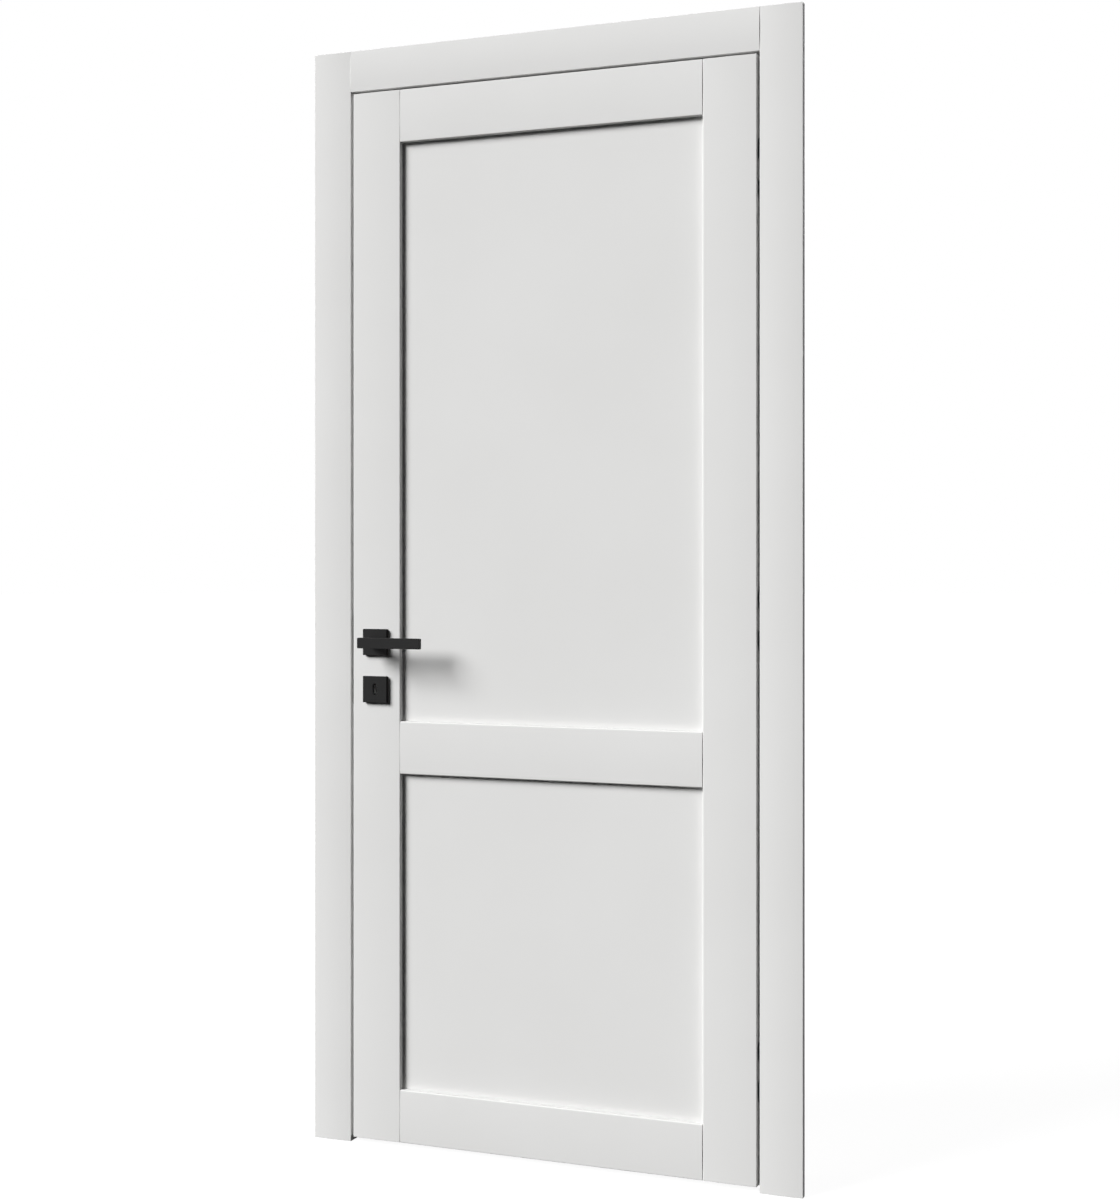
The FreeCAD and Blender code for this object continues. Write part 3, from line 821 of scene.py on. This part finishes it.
def make_upright_jamb(name, face, way, rooms, recesses, node):
    """Jamb with its fixing holes; rooms don't touch each other, and recesses lie over them."""
    jamb = run_section(name, jamb_outline(face, way),
                       rounded_ends(JAMB_TOP, JAMB_FOOT_RADIUS, JAMB_TOP_RADIUS), along_z(0, 0, 0))
    carve(jamb, [joined("rooms", fixing_holes(face, way) + rooms)] + recesses)
    finish_piece(jamb, upright_lacquer, "white_lacquer", "frame", node)


def make_head_jamb():
    """Jamb over the leaf, cut back at both ends where the upright jambs' stops run through."""
    outline = [(back, up) for up, back in jamb_outline(HEAD_FACE, 1.0)]
    ends = rounded_ends(HINGE_FACE - LOCK_FACE, HEAD_END_RADIUS, HEAD_END_RADIUS)
    head = run_section("head_jamb", outline, ends, along_x(LOCK_FACE, 0.0, 0.0))
    corners = []
    for name, x0, x1 in (("corner_left", LOCK_FACE - SHORT_OVERRUN, LOCK_FACE + STOP_HEIGHT),
                         ("corner_right", HINGE_FACE - STOP_HEIGHT, HINGE_FACE + SHORT_OVERRUN)):
        corners.append(block(name, (x0, STOP_FRONT, STOP_UNDER - OVERRUN),
                             (x1, JAMB_DEPTH + OVERRUN, JAMB_TOP + OVERRUN)))
    carve(head, corners)
    finish_piece(head, across_lacquer, "white_lacquer", "frame", "jamb_head")


def make_jambs():
    make_upright_jamb("hinge_jamb", HINGE_FACE, 1.0, housing_pockets(HINGE_FACE, 1.0), [], "jamb_hinge_side")
    make_upright_jamb("lock_jamb", LOCK_FACE, -1.0, strike_pockets(STRIKE_POCKET_DEPTH), [strike_room()],
                      "jamb_lock_side")
    make_head_jamb()


def seal_outline():
    """Seal section: a ribbed stem, shoulders and a round lip towards the leaf, in (across, back)."""
    side = [(SEAL_HALF_WIDTH, -SEAL_TUCK), (SEAL_NECK, -SEAL_TUCK), *SEAL_RIBS]
    outline = side + [(-u, v) for u, v in side[::-1]]
    lip = SEAL_FRONT - STOP_FRONT
    for i in range(LIP_STEPS + 1):
        angle = math.pi * i / LIP_STEPS
        rise = SEAL_SHOULDER + (1 - SEAL_SHOULDER) * math.sin(angle)
        outline.append((-SEAL_HALF_WIDTH * math.cos(angle), lip * rise))
    return outline


def make_seals():
    rise = STOP_UNDER + 2 * SEAL_HALF_WIDTH
    for name, x, node in (("seal_right", HINGE_FACE - SEAL_OFFSET, "seal_hinge_side"),
                          ("seal_left", LOCK_FACE + SEAL_OFFSET, "seal_lock_side")):
        seal = straight_run(name, seal_outline(), 0.0, rise, along_z(x, STOP_FRONT, 0.0))
        finish_piece(seal, seal_rubber, "seal_rubber", "frame", node)
    seal = straight_run("seal_over", seal_outline(), LOCK_FACE + STOP_HEIGHT, HINGE_FACE - STOP_HEIGHT,
                        lambda u, v, w: (w, STOP_FRONT + v, HEAD_FACE - SEAL_OFFSET - u))
    finish_piece(seal, seal_rubber, "seal_rubber", "frame", "seal_head")


# Screws and metal fittings

def screw_head(radius, place):
    """Countersunk head just below its plate, with a hexagon socket."""
    head = run_section("screw", circle(radius, 28), SCREW_HEAD, place)
    corners = [math.pi / 3 * i for i in range(6)]
    reach = radius * SOCKET_SHARE
    hexagon = [(reach * math.cos(turn), reach * math.sin(turn)) for turn in corners]
    return carve(head, [straight_run("socket", hexagon, -SHORT_OVERRUN, SOCKET_DEPTH, place)])


def screw_seat(radius, place):
    """Countersink for a screw head."""
    return run_section("seat", circle(radius + SCREW_PLAY, 28), SCREW_SEAT, place)


def cover_line(x, z):
    """Thin cut across a housing's face, where its cover ends."""
    reach = HOUSING_WIDTH / 2 + SHORT_OVERRUN
    return block("line", (x - COVER_LINE_DEPTH, HOUSING_MIDDLE - reach, z - COVER_LINE_HALF_WIDTH),
                 (x + COVER_LINE_DEPTH, HOUSING_MIDDLE + reach, z + COVER_LINE_HALF_WIDTH))


def make_housing(side, level, z):
    """Hinge housing let into the jamb or the stile, with its cover lines, screws and adjusters."""
    x, way = (HINGE_FACE, 1.0) if side == "frame" else (LEAF_RIGHT, -1.0)
    housing = run_section("hinge_%s_%s" % (side, level), stadium(HOUSING_WIDTH, HOUSING_HEIGHT),
                          rounded_ends(HOUSING_DEPTH, HOUSING_FRONT_EDGE, HOUSING_BACK_EDGE),
                          along_x(x, HOUSING_MIDDLE, z, way))
    room = ring_outline(LINK_INNER_RADIUS - LINK_CLEARANCE, LINK_OUTER_RADIUS + LINK_CLEARANCE,
                        LINK_HALF_ANGLE + LINK_END_ANGLE)
    half_room = LINK_HEIGHT / 2 + LINK_CLEARANCE
    tools = [straight_run("room", room, z - half_room, z + half_room, along_z(0, 0, 0))]
    screws = []
    for up in (-1.0, 1.0):
        tools.append(cover_line(x, z + up * COVER_LINE_RISE))
        fixing = along_x(x, HOUSING_MIDDLE, z + up * HINGE_SCREW_RISE, way)
        tools.append(screw_seat(HINGE_SCREW_RADIUS, fixing))
        screws.append(screw_head(HINGE_SCREW_RADIUS, fixing))
        adjuster = along_x(x, HOUSING_MIDDLE + ADJUSTER_SHIFT, z + up * ADJUSTER_RISE, way)
        tools.append(straight_run("well", circle(ADJUSTER_RADIUS + ADJUSTER_PLAY, 24), -SHORT_OVERRUN,
                                  ADJUSTER_WELL_DEPTH, adjuster))
        screws.append(run_section("adjuster", circle(ADJUSTER_RADIUS, 24), ADJUSTER_HEAD, adjuster))
    carve(housing, tools)
    finish_piece(housing, hinge_nickel, "hinge_metal", side, "hinge_%s_%s_housing" % (level, side))
    finish_piece(joined("hinge_%s_%s_screws" % (side, level), screws), lock_steel, "lock_steel", side)


def make_hinges():
    outline = ring_outline(LINK_INNER_RADIUS, LINK_OUTER_RADIUS, LINK_HALF_ANGLE)
    ends = rounded_ends(LINK_HEIGHT, LINK_EDGE, LINK_EDGE)
    for level, z in HINGE_LEVELS:
        link = run_section("hinge_link_" + level, outline, ends, along_z(0, 0, z - LINK_HEIGHT / 2))
        finish_piece(link, hinge_nickel, "hinge_metal", "hinge_links", "hinge_%s_link" % level)
        make_housing("frame", level, z)
        make_housing("leaf", level, z)


def finish_plate(plate, mouths, x, z, way, rises, screws_name, body, node):
    """Cuts a steel plate's mouths and sets a countersunk screw at each rise above its middle."""
    screws = []
    for rise in rises:
        place = along_x(x, LEAF_MIDDLE, z + rise, way)
        mouths.append(screw_seat(LOCK_SCREW_RADIUS, place))
        screws.append(screw_head(LOCK_SCREW_RADIUS, place))
    carve(plate, mouths)
    finish_piece(plate, lock_steel, "lock_steel", body, node)
    finish_piece(joined(screws_name, screws), lock_steel, "lock_steel", body)


def make_forend():
    plate = run_section("forend_plate", stadium(FOREND_WIDTH, FOREND_HEIGHT),
                        rounded_ends(FOREND_THICKNESS, FOREND_FRONT_EDGE, PLATE_BACK_EDGE),
                        along_x(LEAF_LEFT, LEAF_MIDDLE, FOREND_Z))
    x0, x1 = LEAF_LEFT - OVERRUN, LEAF_LEFT + OVERRUN
    mouths = [bolt_room("latch_mouth", LATCH_LOW, LATCH_HIGH, BOLT_PLAY, x0, x1),
              bolt_room("bolt_mouth", BOLT_LOW, BOLT_HIGH, BOLT_PLAY, x0, x1)]
    finish_plate(plate, mouths, LEAF_LEFT, FOREND_Z, 1.0, (-FOREND_SCREW_RISE, FOREND_SCREW_RISE),
                 "forend_screws", "leaf", "lock_forend")


def make_bolts():
    nose = rounded_outline([
        (LEAF_LEFT, LATCH_LOW.y, LATCH_EDGE),
        (LEAF_LEFT, LATCH_LOW.y + LATCH_TIP, LATCH_EDGE),
        (LEAF_LEFT + LATCH_SLANT, LATCH_HIGH.y, LATCH_EDGE),
        (LATCH_HIGH.x, LATCH_HIGH.y, LATCH_EDGE),
        (LATCH_HIGH.x, LATCH_LOW.y, LATCH_EDGE),
    ])
    latch = run_section("latch_nose", nose, rounded_ends(LATCH_HIGH.z - LATCH_LOW.z, LATCH_EDGE, LATCH_EDGE),
                        along_z(0, 0, LATCH_LOW.z))
    finish_piece(latch, lock_steel, "lock_steel", "leaf", "latch_bolt")
    bolt = run_section("bolt_bar", rectangle(BOLT_LOW.y, BOLT_HIGH.y, BOLT_LOW.z, BOLT_HIGH.z, BOLT_CORNER),
                       rounded_ends(BOLT_HIGH.x - BOLT_LOW.x, BOLT_FRONT_EDGE, BOLT_BACK_EDGE),
                       along_x(BOLT_LOW.x, 0, 0))
    finish_piece(bolt, lock_steel, "lock_steel", "leaf", "dead_bolt")


def make_strike():
    plate = run_section("strike_face", stadium(STRIKE_WIDTH, STRIKE_HEIGHT),
                        rounded_ends(STRIKE_THICKNESS, STRIKE_FRONT_EDGE, PLATE_BACK_EDGE),
                        along_x(LOCK_FACE, LEAF_MIDDLE, STRIKE_Z, -1.0))
    finish_plate(plate, strike_pockets(2 * STRIKE_THICKNESS), LOCK_FACE, STRIKE_Z, -1.0,
                 (-STRIKE_SCREW_RISE, 0.0, STRIKE_SCREW_RISE), "strike_screws", "frame", "strike_plate")


# Lever set

def make_rosette(name, z, opening):
    """Square plate with eased front edges, a rebate where it meets the leaf and one opening."""
    half = ROSETTE_SIZE / 2
    rebate = ROSETTE_THICKNESS - ROSETTE_REBATE
    stations = rounded_ends(rebate, ROSETTE_FRONT_EDGE, ROSETTE_BACK_EDGE)
    stations += [(rebate, ROSETTE_REBATE), (ROSETTE_THICKNESS, ROSETTE_REBATE)]
    plate = run_section(name, rectangle(-half, half, -half, half, ROSETTE_CORNER), stations,
                        along_y(SPINDLE.x, ROSETTE_LOW.y, z))
    return carve(plate, [opening])


def lever_neck(start, length):
    """Square neck that flares where it leaves the bar; its first stretch lies inside the bar."""
    half = NECK_WIDTH / 2
    stations = [(0.0, -NECK_FLARE)]
    for i in range(FLARE_STEPS + 1):
        turn = math.pi / 2 * i / FLARE_STEPS
        rise = NECK_FLARE * (1 - math.cos(turn))
        stations.append((LEVER_THICKNESS / 2 + rise, -NECK_FLARE * (1 - math.sin(turn))))
    stations += [(length - NECK_END_EDGE, 0.0), (length, NECK_END_EDGE)]
    return run_section("neck", rectangle(-half, half, -half, half, NECK_CORNER), stations,
                       along_y(SPINDLE.x, start, SPINDLE.z))


def make_lever():
    """Flat bar on its neck, with a journal in the rosette, a grub screw's hole and the spindle's room."""
    rosette = ROSETTE_LOW.y
    bar_back = LEVER_LOW.y + LEVER_THICKNESS
    neck_start = bar_back - LEVER_THICKNESS / 2
    bar = run_section("lever_bar",
                      rectangle(LEVER_LOW.x, LEVER_HIGH.x, LEVER_LOW.z, LEVER_HIGH.z, LEVER_CORNER, steps=6),
                      rounded_ends(LEVER_THICKNESS, LEVER_EDGE, LEVER_EDGE), along_y(0, LEVER_LOW.y, 0))
    neck = lever_neck(neck_start, rosette - NECK_GAP - neck_start)
    journal = straight_run("journal", circle(JOURNAL_RADIUS - JOURNAL_CLEARANCE, 48), 0.0, JOURNAL_LENGTH,
                           along_y(SPINDLE.x, rosette - JOURNAL_START, SPINDLE.z))
    carve(bar, [neck, journal], "UNION")
    under = SPINDLE.z - NECK_WIDTH / 2
    grub = straight_run("grub", circle(GRUB_RADIUS, 20), under - SHORT_OVERRUN, under + GRUB_DEPTH,
                        along_z(SPINDLE.x, (bar_back + rosette) / 2 + GRUB_SHIFT, 0.0))
    half = SPINDLE_WIDTH / 2
    spindle_room = straight_run("spindle_room", rectangle(-half, half, -half, half), 0.0, SPINDLE_ROOM_DEPTH,
                                along_y(SPINDLE.x, LEAF_FRONT - SPINDLE_ROOM_START, SPINDLE.z))
    return carve(bar, [grub, spindle_room])


def copy_on_back(piece):
    """The piece mirrored to the leaf's back."""
    mesh = piece.data.copy()
    flip = Matrix.Identity(4)
    flip[1][1] = -1.0
    flip[1][3] = 2 * LEAF_MIDDLE * MM
    mesh.transform(flip)
    mesh.flip_normals()
    return add_object(piece.name + "_inside", mesh)


def make_lever_set():
    through = ROSETTE_THICKNESS + BORE_OVERRUN
    bore = straight_run("bore", circle(JOURNAL_RADIUS, 48), -BORE_OVERRUN, through,
                        along_y(SPINDLE.x, ROSETTE_LOW.y, SPINDLE.z))
    lever_rosette = make_rosette("lever_rosette", SPINDLE.z, bore)
    stations = [(-SHORT_OVERRUN, -KEYHOLE_CHAMFER), (0.0, -KEYHOLE_CHAMFER), (KEYHOLE_CHAMFER, 0.0),
                (through, 0.0)]
    slot = run_section("slot", stadium(KEYHOLE_WIDTH, KEYHOLE_HEIGHT), stations,
                       along_y(SPINDLE.x, ROSETTE_LOW.y, KEY_Z))
    key_rosette = make_rosette("key_rosette", KEY_Z, slot)
    for piece, body, node in ((lever_rosette, "leaf", "lever_rosette"), (key_rosette, "leaf", "key_rosette"),
                              (make_lever(), "lever", "lever")):
        back = copy_on_back(piece)
        finish_piece(piece, black_coat, "black_metal", body, node + "_front")
        finish_piece(back, black_coat, "black_metal", body, node + "_back")


# Light, floor and camera

def plain_rays(tree):
    """1 for camera, glossy and transmission rays, which see the plain white."""
    rays = tree.nodes.new("ShaderNodeLightPath")
    seen = rays.outputs["Is Camera Ray"]
    for kind in ("Is Glossy Ray", "Is Transmission Ray"):
        either = tree.nodes.new("ShaderNodeMath")
        either.operation = "MAXIMUM"
        tree.links.new(seen, either.inputs[0])
        tree.links.new(rays.outputs[kind], either.inputs[1])
        seen = either.outputs["Value"]
    return seen


def show_plain(tree, lit, plain, output):
    """Gives the plain shader to the rays that see plain white, and the lit one to the rest."""
    mix = tree.nodes.new("ShaderNodeMixShader")
    tree.links.new(plain_rays(tree), mix.inputs["Fac"])
    tree.links.new(lit, mix.inputs[1])
    tree.links.new(plain, mix.inputs[2])
    tree.links.new(mix.outputs["Shader"], output.inputs["Surface"])


def add_world():
    """Weak fill that rises towards the back of the door; the background shows white."""
    world = bpy.data.worlds.new("studio")
    bpy.context.scene.world = world
    world.use_nodes = True
    tree = world.node_tree
    tree.nodes.clear()
    place = tree.nodes.new("ShaderNodeTexCoord")
    toward = tree.nodes.new("ShaderNodeVectorMath")
    toward.operation = "DOT_PRODUCT"
    toward.inputs[1].default_value = FILL_FROM
    tree.links.new(place.outputs["Generated"], toward.inputs[0])
    fill = tree.nodes.new("ShaderNodeBackground")
    fill.inputs["Color"].default_value = WHITE
    level = remap(tree, toward.outputs["Value"], FILL_LOW, FILL_HIGH, value_low=0.0, value_high=1.0)
    tree.links.new(level, fill.inputs["Strength"])
    white = tree.nodes.new("ShaderNodeBackground")
    white.inputs["Color"].default_value = WHITE
    output = tree.nodes.new("ShaderNodeOutputWorld")
    show_plain(tree, fill.outputs["Background"], white.outputs["Background"], output)


def add_lamp(name, direction, strength, softness):
    """Large distant lamp; softness is the angle it is seen under, in degrees."""
    sun = bpy.data.lights.new(name, "SUN")
    sun.energy = strength
    sun.angle = math.radians(softness)
    lamp = add_object(name, sun)
    lamp.rotation_mode = "QUATERNION"
    lamp.rotation_quaternion = direction.to_track_quat("-Z", "Y")


def add_floor():
    """Wide floor, nearly white to the camera; it keeps the object's soft shadow and hardly bounces light."""
    mesh = bpy.data.meshes.new("floor")
    shape = bmesh.new()
    bmesh.ops.create_circle(shape, cap_ends=True, segments=96, radius=FLOOR_RADIUS)
    shape.to_mesh(mesh)
    shape.free()
    floor = add_object("floor", mesh)
    material, tree, shader = new_material("floor_white")
    shader.inputs["Base Color"].default_value = (FLOOR_BOUNCE, FLOOR_BOUNCE, FLOOR_BOUNCE, 1.0)
    shader.inputs["Roughness"].default_value = 1.0
    shader.inputs["Specular IOR Level"].default_value = 0.0
    glow = tree.nodes.new("ShaderNodeEmission")
    glow.inputs["Strength"].default_value = FLOOR_GLOW
    shade = tree.nodes.new("ShaderNodeBsdfDiffuse")
    shade.inputs["Color"].default_value = (FLOOR_SHADE, FLOOR_SHADE, FLOOR_SHADE, 1.0)
    both = tree.nodes.new("ShaderNodeAddShader")
    tree.links.new(glow.outputs["Emission"], both.inputs[0])
    tree.links.new(shade.outputs["BSDF"], both.inputs[1])
    show_plain(tree, shader.outputs["BSDF"], both.outputs["Shader"], tree.nodes["Material Output"])
    mesh.materials.append(material)


def add_camera():
    """Camera at the photograph's viewing angle."""
    data = bpy.data.cameras.new("camera")
    data.sensor_width = CAMERA_SENSOR
    data.lens = CAMERA_LENS
    data.shift_x, data.shift_y = CAMERA_SHIFT
    data.clip_end = CAMERA_SIGHT
    camera = add_object("camera", data)
    camera.location = CAMERA_PLACE
    camera.rotation_euler = (math.radians(90.0), 0.0, math.radians(CAMERA_TURN))
    bpy.context.scene.camera = camera


dress_nodes()
make_jambs()
make_casing()
make_stiles()
make_rails()
make_seals()
make_hinges()
make_forend()
make_bolts()
make_strike()
make_lever_set()
add_camera()
add_world()
add_lamp("key", KEY_DIRECTION, KEY_STRENGTH, KEY_SOFTNESS)
add_lamp("back", BACK_DIRECTION, BACK_STRENGTH, BACK_SOFTNESS)
add_floor()
bpy.context.scene.view_settings.view_transform = "Standard"
